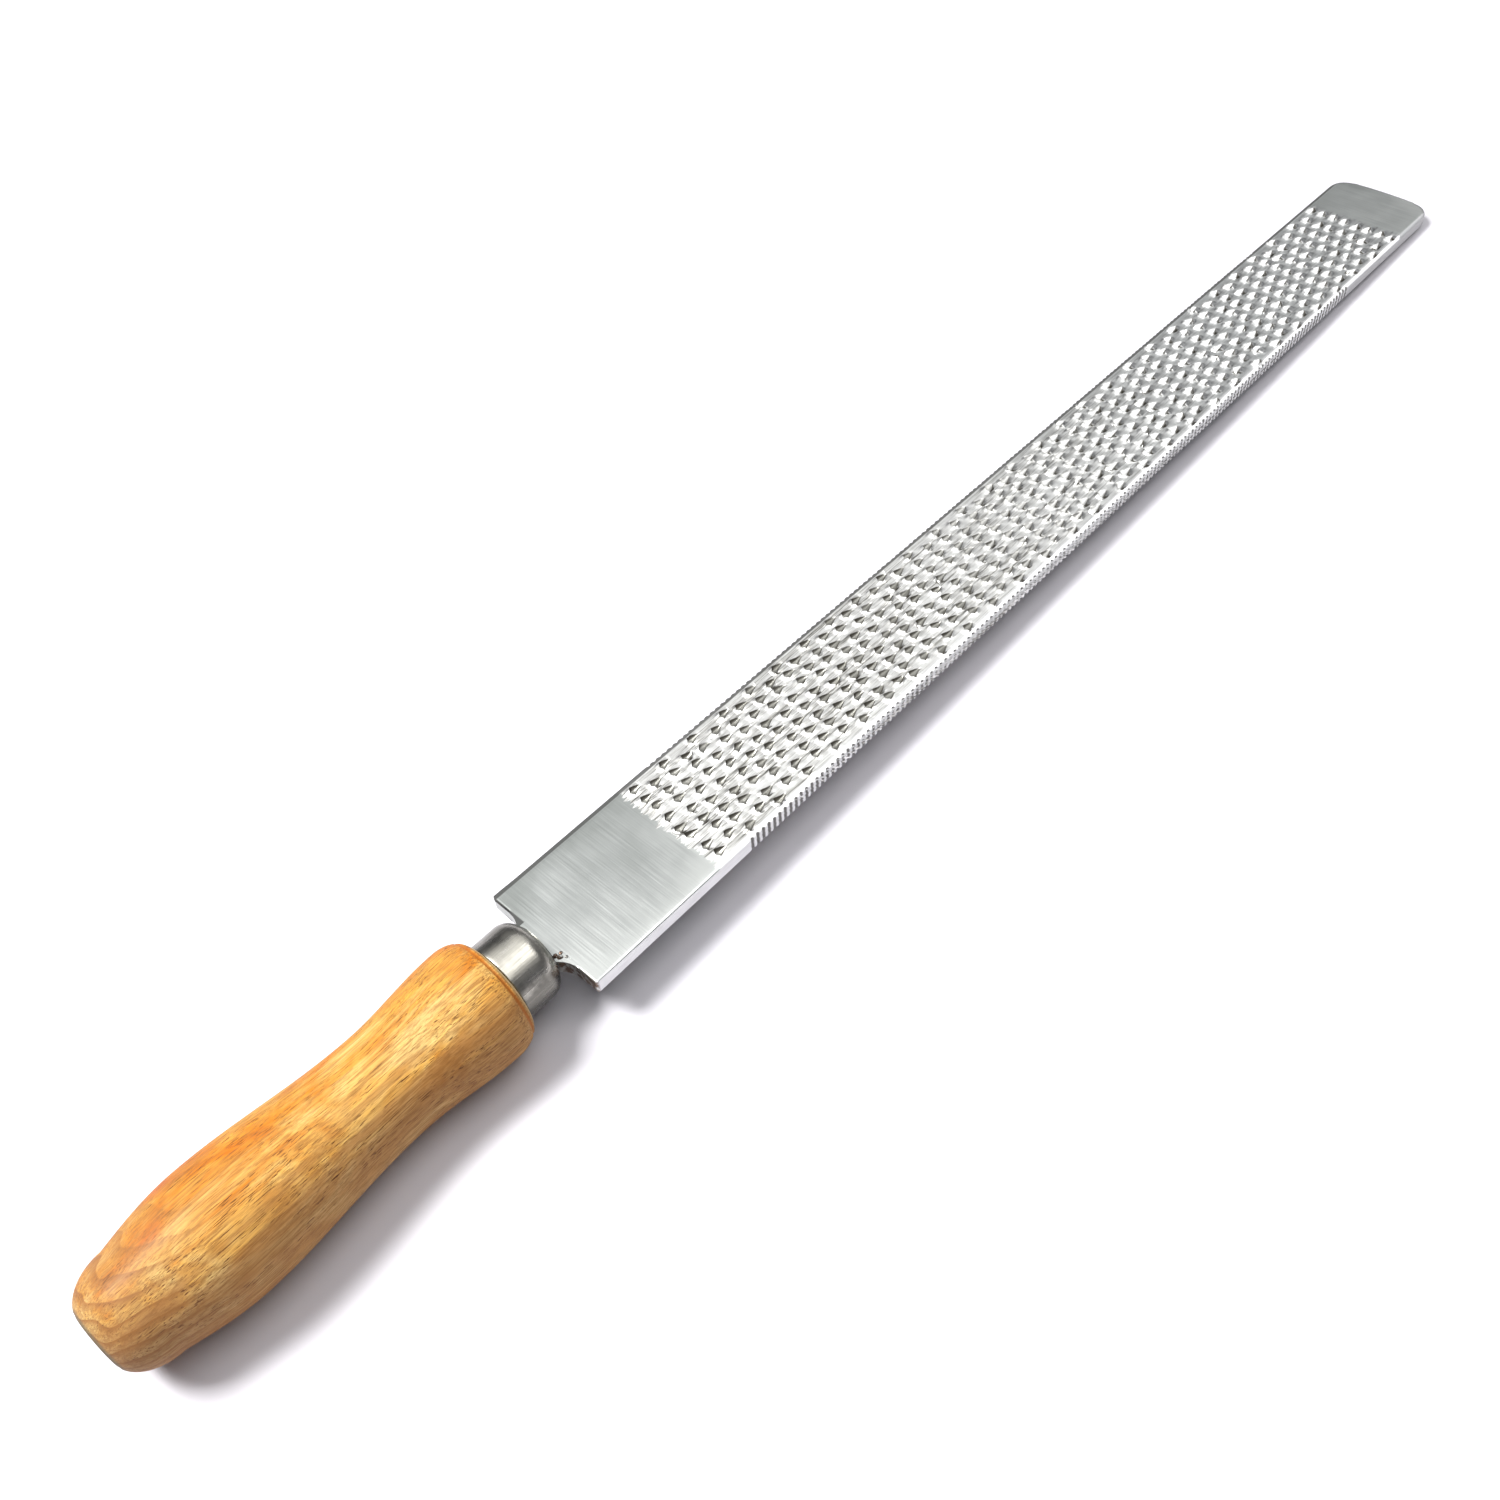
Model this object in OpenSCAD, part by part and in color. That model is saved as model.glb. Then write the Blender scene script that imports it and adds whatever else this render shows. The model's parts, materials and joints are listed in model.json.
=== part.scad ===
// Farrier's rasp: a flat steel blade with punched rasp teeth on one face,
// a forged tang, a drawn steel ferrule and a turned wooden handle.
// The tool's axis is X, the tip is at +X and the toothed face looks up, +Z.
// The origin is at the middle of the tool's overall length, on its axis.

/* [Blade] */
// Length of the blade from the heel shoulder to the tip
blade_len = 355.6; // [300:0.1:430]
// Width of the blade at the heel shoulder
heel_w = 32; // [28:0.5:46]
// Width of the blade just behind the tip corners
tip_w = 30.4; // [26:0.2:44]
// Thickness of the blade
blade_t = 4; // [3.6:0.1:5.5]
// Radius of the two tip corners
tip_corner_r = 5.5; // [2:0.5:9]
// How far the middle of the tip end stands out past its corners
tip_bow = 0.8; // [0.4:0.1:2]
// Bevel on the four long edges of the blade
edge_bevel = 0.4; // [0.2:0.05:0.8]

/* [Rasp teeth] */
// Distance from the heel shoulder to the first row of teeth
first_row = 39.2; // [30:0.1:60]
// Least length of plain blade left between the last row and the tip
plain_tip = 22; // [15:1:40]
// Number of rows cut at the closer spacing, next to the heel
close_rows = 19; // [0:1:20]
// Row spacing next to the heel
close_pitch = 4.79; // [4.6:0.01:5.5]
// Row spacing over the rest of the blade
row_pitch = 5.47; // [4.8:0.01:7]
// Number of teeth in a full row; the rows between have one tooth less
row_teeth = 8; // [5:1:8]
// Distance from the blade's edge to the middle of the outermost teeth, at the tip
tooth_margin = 2.2; // [2:0.1:4]
// Radius of the round back of each raised burr
burr_r = 1.2; // [1:0.05:1.3]
// How far the burr stands above the face
burr_h = 0.7; // [0.4:0.05:0.8]
// Slope of the burr's back, in degrees
burr_slope = 28; // [26:1:40]
// Length of the pit in front of the burr
pit_len = 2.6; // [1.8:0.1:2.8]
// Greatest depth of the pit
pit_d = 0.7; // [0.4:0.05:0.9]

/* [Edge teeth] */
// Distance from the heel shoulder to the first notch in the edges
notch_start = 46; // [40:1:60]
// Spacing of the notches along each edge
notch_pitch = 1.78; // [1.6:0.01:3]
// Length of edge left plain behind the tip
plain_edge = 52; // [30:1:120]
// Width of each notch where it opens
notch_w = 1; // [0.6:0.1:1.4]
// Depth of each notch
notch_d = 0.35; // [0.1:0.05:0.5]

/* [Tang] */
// Length of the tang, from the heel shoulder to its end inside the handle
tang_len = 78; // [50:1:90]
// Width of the tang where the shoulder fillets end
tang_w = 8.4; // [7:0.1:9]
// Width of the tang at its end
tang_end_w = 4; // [2:0.1:6]
// Thickness of the tang at its end
tang_end_t = 2.4; // [1.5:0.1:3.4]
// Radius of the fillets between the heel shoulder and the tang
fillet_r = 6.5; // [4:0.5:7]

/* [Ferrule] */
// Outer diameter of the ferrule
ferrule_d = 18.8; // [18:0.1:22]
// Wall thickness of the ferrule
ferrule_wall = 0.9; // [0.6:0.1:1.2]
// Length of the ferrule
ferrule_len = 11.3; // [10:0.1:16]
// Gap between the ferrule's nose and the heel shoulder
nose_gap = 2; // [1.5:0.1:4]
// Radius that rounds the ferrule's nose
nose_r = 4; // [2.5:0.1:4.5]
// Room left round the tang's corners where it enters the ferrule's mouth
mouth_gap = 0.06; // [0.05:0.01:0.2]

/* [Handle] */
// Length of the handle from its front face to its butt
handle_len = 94.4; // [85:0.1:130]
// Diameter of the front face, inside its rounded edge
front_d = 20.4; // [19:0.1:23]
// Diameter of the bead behind the front face
bead_d = 27.2; // [25:0.1:32]
// Diameter of the waist that the fingers close on
waist_d = 23.4; // [20:0.1:26]
// Diameter of the belly that fills the palm
belly_d = 28.2; // [26:0.1:34]
// Diameter of the flat butt
butt_d = 12.8; // [8:0.1:20]

/* [Hidden] */
$fn = 96;

tool_len = blade_len + nose_gap + ferrule_len + handle_len;
tip_x = tool_len / 2;
heel_x = tip_x - blade_len;
nose_x = heel_x - nose_gap;
front_x = nose_x - ferrule_len;
butt_x = -tool_len / 2;

taper = atan((heel_w - tip_w) / 2 / blade_len);
face_z = blade_t / 2;
// Small overrun that keeps cutting faces clear of the faces they cut
eps = 0.02;

// Points along an arc about [cx, cy] from angle a0 to a1
function arc(cx, cy, r, a0, a1, n) =
    [for (i = [0 : n]) let (a = a0 + (a1 - a0) * i / n) [cx + r * cos(a), cy + r * sin(a)]];

// The same points in the other half of the blade, in reverse order
function mirrored(pts) = [for (i = [len(pts) - 1 : -1 : 0]) [pts[i][0], -pts[i][1]]];

// Smooth step from 0 to 1 with level ends
function ease(u) = (1 - cos(180 * u)) / 2;

// ---- blade -----------------------------------------------------------

// Radius that eases each corner of the heel shoulder
heel_corner_r = 0.8;
// Radius of the bowed tip end, and the arc of each tip corner that runs into it
bow_r = tip_w * tip_w / 8 / tip_bow;
corner_end = 12;
bow_half = tip_w / 2 - tip_corner_r;
bow_steps = 5;

// Half of the blade's outline, from the end of the tang round to the tip
half_outline = concat(
    [[heel_x - tang_len, tang_end_w / 2]],
    arc(heel_x - fillet_r, tang_w / 2 + fillet_r, fillet_r, -90, 0, 10),
    arc(heel_x + heel_corner_r, heel_w / 2 - heel_corner_r, heel_corner_r, 180, 90, 4),
    arc(tip_x - tip_bow - tip_corner_r, bow_half, tip_corner_r, 90, corner_end, 9),
    [for (i = [0 : bow_steps - 1]) let (y = bow_half * (1 - i / bow_steps))
        [tip_x - bow_r + sqrt(bow_r * bow_r - y * y), y]]
);

module blade_plan() {
    polygon(concat(half_outline, mirrored(half_outline)));
}

// Side view: the blade's even thickness, and the tang drawn down from the heel to its end
module blade_side() {
    past_tip = tip_x + 1;
    polygon([
        [heel_x - tang_len, -tang_end_t / 2],
        [heel_x, -face_z],
        [past_tip, -face_z],
        [past_tip, face_z],
        [heel_x, face_z],
        [heel_x - tang_len, tang_end_t / 2]
    ]);
}

module blade_blank() {
    intersection() {
        linear_extrude(height = 2 * blade_t, center = true) blade_plan();
        rotate([90, 0, 0]) linear_extrude(height = 2 * heel_w, center = true) blade_side();
    }
}

// A square bar set on its corner, which takes the bevel off one long edge
module bevel_bar(side, face) {
    bar = edge_bevel * sqrt(2);
    overrun = 3;
    translate([heel_x, side * heel_w / 2, face * face_z])
        rotate([0, 0, -side * taper])
            translate([blade_len / 2, 0, 0])
                rotate([45, 0, 0])
                    cube([blade_len + 2 * overrun, bar, bar], center = true);
}

notches = 1 + floor((blade_len - plain_edge - notch_start) / notch_pitch);

// One notch: an upright three-cornered groove in the edge
module edge_notch(side, x) {
    y = heel_w / 2 - x * tan(taper);
    translate([heel_x + x, side * y, 0])
        linear_extrude(height = 3 * blade_t, center = true)
            polygon([[-notch_w / 2, side * eps], [0, -side * notch_d], [notch_w / 2, side * eps]]);
}

rows = 1 + close_rows
    + floor((blade_len - plain_tip - first_row - close_rows * close_pitch) / row_pitch);
tooth_pitch = (tip_w - 2 * tooth_margin) / (row_teeth - 1);

// Distance of each row of teeth from the heel shoulder
function row_x(i) = first_row + min(i, close_rows) * close_pitch + max(i - close_rows, 0) * row_pitch;

// How far the burr's steep end leans back from upright, in degrees
burr_lean = 8;
// How far the burr's narrow end is sunk below the face
burr_sink = 0.1;
burr_len = (burr_h + burr_sink) * cos(burr_slope - burr_lean) / sin(burr_slope);

// The raised burr: a cone lying behind the pit, with its steep end towards the tip
module tooth_burr() {
    translate([0, 0, burr_h - burr_r * cos(burr_lean)])
        rotate([0, -90 - burr_lean, 0])
            cylinder(h = burr_len, r1 = burr_r, r2 = burr_r - burr_len * tan(burr_slope - burr_lean));
}

// Distance of the pit's blunt end from the burr's foot
pit_start = 0.1;
// Height of the pit cone's axis above the face at its blunt end and at its point
pit_rise = 0.3;
pit_point = 0.12;

// The pit: a cone dipped into the face, which runs out to a point towards the tip
module tooth_pit() {
    translate([pit_start, 0, pit_rise])
        rotate([0, 90 + atan((pit_rise - pit_point) / pit_len), 0])
            cylinder(h = pit_len, r1 = pit_d + pit_rise, r2 = pit_point - eps);
}

// Sets a child at every tooth of the field
module tooth_field() {
    for (i = [0 : rows - 1]) {
        count = row_teeth - i % 2;
        for (j = [0 : count - 1])
            translate([heel_x + row_x(i), (j - (count - 1) / 2) * tooth_pitch, face_z])
                children();
    }
}

module rasp_blade() {
    color("silver")
        difference() {
            union() {
                blade_blank();
                tooth_field() tooth_burr();
            }
            tooth_field() tooth_pit();
            for (side = [-1, 1]) {
                for (face = [-1, 1]) bevel_bar(side, face);
                for (k = [0 : notches - 1]) edge_notch(side, notch_start + k * notch_pitch);
            }
        }
}

// ---- ferrule ---------------------------------------------------------

// The round mouth just clears the corners of the tang's fillets where they pass the nose
fillet_left = fillet_r - nose_gap;
tang_half_at_nose = tang_w / 2 + fillet_r - sqrt(fillet_r * fillet_r - fillet_left * fillet_left);
mouth_r = norm([tang_half_at_nose, face_z]) + mouth_gap;

// Half profile of the cap's outside, or of its inside when inset is the wall
module cap_profile(inset) {
    r = ferrule_d / 2 - inset;
    corner = nose_r - inset;
    polygon(concat(
        [[0, 0], [r, 0]],
        arc(r - corner, ferrule_len - nose_r, corner, 0, 90, 14),
        [[0, ferrule_len - inset]]
    ));
}

module ferrule() {
    color("gray")
        translate([front_x, 0, 0])
            rotate([0, 90, 0])
                difference() {
                    rotate_extrude() cap_profile(0);
                    translate([0, 0, -eps]) rotate_extrude() cap_profile(ferrule_wall);
                    cylinder(h = 2 * ferrule_len, r = mouth_r);
                }
}

// ---- handle ----------------------------------------------------------

// Stations along the handle, as parts of its length from the front face
bead_at = 0.06;
waist_at = 0.31;
belly_at = 0.72;
round_at = 0.90;
// Diameter where the rounded end starts, and the arc of that end which the flat butt cuts off
round_d = belly_d * 0.83;
butt_arc = 76;

function blend_d(u, u0, u1, d0, d1) = d0 + (d1 - d0) * ease((u - u0) / (u1 - u0));

// The turned shape between the bead and the start of the rounded end
function handle_d(u) =
    u < waist_at ? blend_d(u, bead_at, waist_at, bead_d, waist_d) :
    u < belly_at ? blend_d(u, waist_at, belly_at, waist_d, belly_d) :
    blend_d(u, belly_at, belly_at + 2 * (round_at - belly_at), belly_d, 2 * round_d - belly_d);

// Half profile of the handle, as radius and distance from its front face
bead_len = bead_at * handle_len;
end_len = (1 - round_at) * handle_len;
arc_steps = 8;
body_steps = 34;
handle_profile = concat(
    [[0, 0]],
    [for (i = [0 : arc_steps]) let (a = 90 * i / arc_steps)
        [front_d / 2 + (bead_d - front_d) / 2 * sin(a), bead_len * (1 - cos(a))]],
    [for (i = [1 : body_steps]) let (u = bead_at + (round_at - bead_at) * i / body_steps)
        [handle_d(u) / 2, u * handle_len]],
    [for (i = [1 : arc_steps]) let (a = butt_arc * i / arc_steps)
        [butt_d / 2 + (round_d - butt_d) / 2 * (cos(a) - cos(butt_arc)) / (1 - cos(butt_arc)),
            round_at * handle_len + end_len * sin(a) / sin(butt_arc)]],
    [[0, handle_len]]
);

module handle() {
    color("sandybrown")
        difference() {
            union() {
                translate([front_x, 0, 0])
                    rotate([0, -90, 0]) rotate_extrude() polygon(handle_profile);
                // Spigot that fills the ferrule
                translate([front_x, 0, 0])
                    rotate([0, 90, 0]) rotate_extrude() cap_profile(ferrule_wall);
            }
            // Socket that the tang is driven into
            blade_blank();
        }
}

rasp_blade();
ferrule();
handle();
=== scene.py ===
"""Farrier's rasp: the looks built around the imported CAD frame.

Shapes are worked out in millimetres along the tool's axis and written to meshes in metres.
"s" is the distance from the blade's heel shoulder towards the tip, "y" runs across the blade.
"""
import json
import math

import bpy
import numpy as np
from mathutils import Euler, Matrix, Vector


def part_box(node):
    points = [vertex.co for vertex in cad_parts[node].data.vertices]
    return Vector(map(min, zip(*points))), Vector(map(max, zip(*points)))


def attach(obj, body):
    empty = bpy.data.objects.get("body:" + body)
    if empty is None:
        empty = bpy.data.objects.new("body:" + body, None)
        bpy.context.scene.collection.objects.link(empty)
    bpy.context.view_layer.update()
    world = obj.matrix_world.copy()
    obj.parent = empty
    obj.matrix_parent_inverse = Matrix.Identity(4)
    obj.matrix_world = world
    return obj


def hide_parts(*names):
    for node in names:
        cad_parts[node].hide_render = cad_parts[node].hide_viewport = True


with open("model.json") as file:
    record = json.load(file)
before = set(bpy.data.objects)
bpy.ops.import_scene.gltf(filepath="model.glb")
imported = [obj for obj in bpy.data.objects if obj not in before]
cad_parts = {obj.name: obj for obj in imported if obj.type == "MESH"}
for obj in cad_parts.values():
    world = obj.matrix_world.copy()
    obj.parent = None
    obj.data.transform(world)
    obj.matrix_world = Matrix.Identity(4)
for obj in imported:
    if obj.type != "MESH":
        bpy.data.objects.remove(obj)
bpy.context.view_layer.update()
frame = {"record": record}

MM = 0.001
rng = np.random.default_rng(14)

# ---- places, from the frame ------------------------------------------------------------

blade_low, blade_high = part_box("rasp_blade")
ferrule_low, ferrule_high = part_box("ferrule")
handle_low, handle_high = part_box("handle")
mounts = {m["name"]: m for m in frame["record"]["mounts"]}

NOSE_GAP = 2.0                              # ferrule nose to heel shoulder
TIP_X = blade_high[0] / MM
NOSE_X = ferrule_high[0] / MM
FRONT_X = ferrule_low[0] / MM               # front face of the wood
BUTT_X = handle_low[0] / MM
HEEL_X = NOSE_X + NOSE_GAP
BLADE_LEN = TIP_X - HEEL_X
TANG_LEN = HEEL_X - blade_low[0] / MM
FACE_Z = -mounts["back_face"]["pos_m"][2] / MM
HEEL_HALF = blade_high[1] / MM
TIP_HALF = HEEL_HALF * 0.95                 # the blade narrows a little towards its tip
BELLY_R = handle_high[1] / MM
FERRULE_R = ferrule_high[1] / MM

# ---- small mesh helpers ----------------------------------------------------------------

NOISE_CELLS = 97                            # the noise repeats after this many cells


class Cloud:
    """Points in millimetres, gathered block by block."""

    def __init__(self):
        self.blocks = []
        self.total = 0

    def add(self, block):
        """Adds a block of points and gives back their numbers, in the block's own layout."""
        block = np.asarray(block, float)
        ids = self.total + np.arange(block[..., 0].size).reshape(block.shape[:-1])
        self.blocks.append(block.reshape(-1, 3))
        self.total += ids.size
        return ids

    def points(self):
        return np.concatenate(self.blocks)


def make_object(name, points_mm, faces, smooth_angle):
    """A mesh object from points in millimetres; edges sharper than smooth_angle stay sharp."""
    mesh = bpy.data.meshes.new(name)
    mesh.from_pydata((np.asarray(points_mm, float) * MM).tolist(), [], faces)
    mesh.validate()
    mesh.polygons.foreach_set("use_smooth", [True] * len(mesh.polygons))
    mesh.set_sharp_from_angle(angle=math.radians(smooth_angle))
    mesh.update()
    obj = bpy.data.objects.new(name, mesh)
    bpy.context.scene.collection.objects.link(obj)
    return obj


def quads(grid):
    """Faces between the neighbouring points of a grid of point numbers."""
    a, b, c, d = grid[:-1, :-1], grid[:-1, 1:], grid[1:, 1:], grid[1:, :-1]
    return np.stack([a, b, c, d], -1).reshape(-1, 4).tolist()


def clean(faces):
    """The faces without repeated corners, and without those that then have no area."""
    faces = [list(dict.fromkeys(face)) for face in faces]
    return [face for face in faces if len(face) > 2]


def smooth_step(value, low, high):
    t = np.clip((value - low) / (high - low), 0, 1)
    return t * t * (3 - 2 * t)


def value_noise(x, y, seed, cell):
    """Smooth noise between -1 and 1 on a grid of the given cell size."""
    table = np.random.default_rng(seed).uniform(-1, 1, (NOISE_CELLS, NOISE_CELLS))

    def at(a, b):
        return table[a % NOISE_CELLS, b % NOISE_CELLS]

    gx, gy = np.asarray(x) / cell, np.asarray(y) / cell
    ix, iy = np.floor(gx).astype(int), np.floor(gy).astype(int)
    fx, fy = gx - ix, gy - iy
    fx, fy = fx * fx * (3 - 2 * fx), fy * fy * (3 - 2 * fy)
    low = at(ix, iy) * (1 - fx) + at(ix + 1, iy) * fx
    high = at(ix, iy + 1) * (1 - fx) + at(ix + 1, iy + 1) * fx
    return low * (1 - fy) + high * fy


# ---- outline of the blade --------------------------------------------------------------

EDGE_ROUND = 0.4                            # rounding of every long edge
TIP_ROUND_EXTRA = 0.4                       # added to it towards the tip
SOFTER_FROM, SOFTER_TO = 285, 312           # where it grows
EDGE_INSETS = (0.07, 0.2, 0.42)             # lines of points across a rounded edge
NARROW_HALF = 6                             # below this half width the lines draw together
CROWN_WIDTH = 2.0                           # the face falls away over this width of each margin
EDGE_CROWN = 0.2                            # and by this much

FILLET_R = 6.5                              # heel shoulder to tang
TANG_HALF = 4.2
TANG_END_HALF = 2.0
TANG_END_Z = 1.2
TANG_STATIONS = ((-50, 2.9), (-20, 3.8))    # where its half width changes between the ends
HEEL_CORNER = 0.8
TIP_CORNER = 5.5
TIP_BOW = 0.8                               # how far the tip's end bulges
BOW_R = (2 * TIP_HALF) ** 2 / 8 / TIP_BOW
CORNER_S = BLADE_LEN - TIP_BOW - TIP_CORNER
CORNER_Y = TIP_HALF - TIP_CORNER

# Mesh lines across the two plain ends, and points round the corners in degrees
HEEL_STATIONS = (1.4, 2.5, 4, 7, 11, 16, 21, 26, 31, 34, 36)
TIP_STATIONS = (336, 338.5, 341, 343.5, 346, 348)
TIP_END_HALVES = (7.6, 5.4, 2.9, 0.02)
FILLET_ANGLES = np.radians([15, 30, 45, 58, 70, 80, 90])
HEEL_ANGLES = np.radians([0, 25, 45, 62, 78, 90])
TIP_ANGLES = np.radians([0, 12, 24, 36, 47, 57, 66, 73, 78])


def half_width(s):
    """Half the blade's width in its long, evenly narrowing stretch."""
    return HEEL_HALF + (TIP_HALF - HEEL_HALF) * s / BLADE_LEN


def end_bow(y):
    """Where the tip end lies at y."""
    return BLADE_LEN - BOW_R + np.sqrt(BOW_R ** 2 - y ** 2)


def distance_in(s, y):
    """Distance from the blade's outline, inwards, for its rounded upper and lower edges."""
    a = np.abs(y)
    inside_tang = 9.0
    to_end = end_bow(np.minimum(a, 40)) - s
    d = np.where(s > 0, np.minimum(half_width(s) - a, to_end), inside_tang)
    in_corner = (s > CORNER_S) & (a > CORNER_Y)
    d = np.where(in_corner, TIP_CORNER - np.hypot(s - CORNER_S, a - CORNER_Y), d)
    shoulder = (s >= 0) & (a > TANG_HALF + FILLET_R - 0.3)
    return np.where(shoulder, np.minimum(d, s), d)


def edge_radius(s):
    """Rounding of the edges, which is softer round the tip."""
    return EDGE_ROUND + TIP_ROUND_EXTRA * smooth_step(s, SOFTER_FROM, SOFTER_TO)


def rounded(d, s):
    """Drop of a surface at distance d from a rounded edge."""
    r = edge_radius(s)
    t = r - np.clip(d, 0, r)
    return r - np.sqrt(np.maximum(r ** 2 - t ** 2, 0))


# ---- teeth -----------------------------------------------------------------------------

ROWS = 57
FIRST_ROW = 39.2
CLOSE_ROWS, CLOSE_PITCH, ROW_PITCH = 19, 4.79, 5.47    # the first rows stand closer
ROWS_END = 335.7                            # where the ground stretch stops
ROW_TEETH = 8                               # every second row has one less
FACE_MARGIN = 2.2                           # middle of the outermost tooth to the edge
HALF_PITCH = (2 * TIP_HALF - 2 * FACE_MARGIN) / (ROW_TEETH - 1) / 2

COLUMNS = 6                                 # mesh columns in half a tooth pitch
PIT_COLUMNS = 4                             # and in half a pit
OUTER_COLUMN = (ROW_TEETH - 1) * COLUMNS + PIT_COLUMNS
BETWEEN_COLUMNS = 2                         # from the outermost tooth to the rounded edge
PIT_HALF = HALF_PITCH * PIT_COLUMNS / COLUMNS
PIT_DEPTH = 0.75
BURR_H = 0.58
BEND = 0.62                                 # how far the crest swings back at its middle
FAR_FROM, FAR_TO = 90, 220                  # over this stretch the burrs grow taller
HEEL_BURR = 0.6                             # from this share of their height

# One tooth along the blade, from its place: the burr rises from BACK to CREST and drops from
# LIP to FOOT, and the pit runs from there over BOTTOM to its POINT.
BACK, CREST, LIP, FOOT, BOTTOM, POINT = -2.1, -0.42, -0.34, -0.1, 0.3, 2.5
LINE_AT = np.concatenate([np.linspace(BACK, CREST, 5), [LIP, FOOT], np.linspace(BOTTOM, POINT, 6)])
LINES = LINE_AT.size
LINE_BEND = np.interp(LINE_AT, [BACK, CREST, LIP, 1.4], [0, 1, 1, 0])
LINE_WIDTH = np.interp(LINE_AT, [BACK, -1.2, 0.15, POINT], [0.6, 1, 1, 0.15])
LINE_BURR = np.interp(LINE_AT, [BACK, CREST, LIP, FOOT - 0.1], [0, 1, 0.96, 0])
LINE_PIT = np.interp(LINE_AT, [LIP, FOOT, BOTTOM, POINT], [0, 0.95, 1, 0])
LINE_RIM = np.interp(LINE_AT, [CREST, FOOT, BOTTOM, 1.0, POINT], [0, 0.8, 1, 1, 0])

# One tooth across the blade, at each mesh column out from its middle
OUT = np.arange(COLUMNS + 1)
BURR_ACROSS = np.interp(OUT, [0, 2, 3, 4, 5], [0.82, 1, 0.93, 0.38, 0])
PIT_ACROSS = np.interp(OUT, [1, 2, 3, 4], [1, 0.86, 0.5, 0])
SLOPED_ACROSS = np.interp(OUT, [0, 5], [1, 0])     # the +Y wall of the pits towards the tip
RIM_ACROSS = np.interp(OUT, [2, 3, 4, 6], [0, 0.4, 1, 0])
RIM_H, RIM_H_FAR, RIM_H_RIGHT = 0.36, 0.26, 0.05   # -Y rim, added to it towards the tip, +Y rim

# How much the teeth differ: out of place, turned, leaning, height and depth
STRAY_ALONG, STRAY_ACROSS = 0.32, 0.25
TURN, TURN_SPREAD = 0.10, 0.16
LEAN_SPREAD = 0.16
TALLEST, LOWEST = 1.12, 0.6
DEEPEST, SHALLOWEST = 1.15, 0.8
END_HOLD, HOLD_STEP = 0.25, 0.3             # share of the move at a row's outer lines, and its growth


def row_at(i):
    return FIRST_ROW + min(i, CLOSE_ROWS) * CLOSE_PITCH + max(i - CLOSE_ROWS, 0) * ROW_PITCH


def shape_row(i, first_line, columns, teeth_y, x, y, z):
    """Raises the burrs and sinks the pits of row i in the mesh lines from first_line."""
    far = smooth_step(row_at(i), FAR_FROM, FAR_TO)
    count = ROW_TEETH - i % 2
    centres = (np.arange(count) - (count - 1) / 2) * 2 * HALF_PITCH
    nearest = np.argmin(np.abs(teeth_y[:, None] - centres), 1)
    away = teeth_y - centres[nearest]
    out = np.abs(away)
    side = np.sign(away)
    column = np.minimum(np.rint(out / HALF_PITCH * COLUMNS).astype(int), COLUMNS)
    beyond = out > HALF_PITCH * 1.01

    shift_x = rng.normal(0, STRAY_ALONG, count)[nearest]
    shift_y = rng.normal(0, STRAY_ACROSS, count)[nearest]
    turn = rng.normal(TURN, TURN_SPREAD, count)[nearest]
    tall = rng.uniform(LOWEST, TALLEST, count)[nearest]
    deep = rng.uniform(SHALLOWEST, DEEPEST, count)[nearest]
    lean = rng.normal(0, LEAN_SPREAD, count)[nearest]

    # The mesh follows a moved tooth, but stays in place halfway to the next one,
    # and moves less at the first and last lines of the row
    hold = np.where(beyond, 0, 1 - smooth_step(out, PIT_HALF * 1.05, HALF_PITCH))
    sloped = np.where(side > 0, far, 0)
    across = PIT_ACROSS[column] + sloped * (SLOPED_ACROSS - PIT_ACROSS)[column]
    bend = np.clip(1 - out / PIT_HALF, 0, 1)
    burr_h = BURR_H * (HEEL_BURR + (1 - HEEL_BURR) * far)
    rim_h = np.where(side < 0, RIM_H + RIM_H_FAR * far, RIM_H_RIGHT)
    for k in range(LINES):
        end_hold = min(1.0, END_HOLD + k * HOLD_STEP, END_HOLD + (LINES - 1 - k) * HOLD_STEP)
        width = LINE_WIDTH[k]
        pit_edge = PIT_HALF * width
        past_pit = (out - PIT_HALF) * (HALF_PITCH - pit_edge) / (HALF_PITCH - PIT_HALF)
        reach = np.where(out <= PIT_HALF, out * width, pit_edge + past_pit)
        offset = np.where(beyond, away, side * reach)
        here = first_line + k, columns
        y[here] = centres[nearest] + offset + shift_y * hold * end_hold
        x[here] += (shift_x * hold - BEND * bend * LINE_BEND[k] + turn * away * hold) * end_hold
        burr = burr_h * LINE_BURR[k] * BURR_ACROSS[column] * (1 + lean * side) * tall
        pit = PIT_DEPTH * LINE_PIT[k] * across * deep
        rim = LINE_RIM[k] * RIM_ACROSS[column] * rim_h
        z[here] += np.where(beyond, 0, burr - pit + rim)


# ---- blade -----------------------------------------------------------------------------

NOTCH_START, NOTCH_END, NOTCH_PITCH, NOTCH_D = 46.0, 303.6, 1.78, 0.5
NOTCH_SEEDS = {-1: 5, 1: 6}                 # for the left and the right edge
NOTCH_COUNT = 400                           # more than either edge needs
GROOVE_HALF = 0.34                          # half a notch's width, as a share of the pitch
NOTCH_SHARES = (1, 1, 0.8, 0.3)             # how far a notch reaches over the rounded edge

FLAT_FROM = 1.05                            # the back is flat inside this share of the rounding
WALL_LEVELS = (0.45, -0.45, -1.0)           # lines of points down an edge, 1 is its top
FILE_ANGLE = 28                             # the back's file cuts slant by this
FILE_GROOVE = (0.0, -0.11, -0.17, -0.05)    # their profile, along the blade
FILE_STEPS = 8                              # spans across the back


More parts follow.
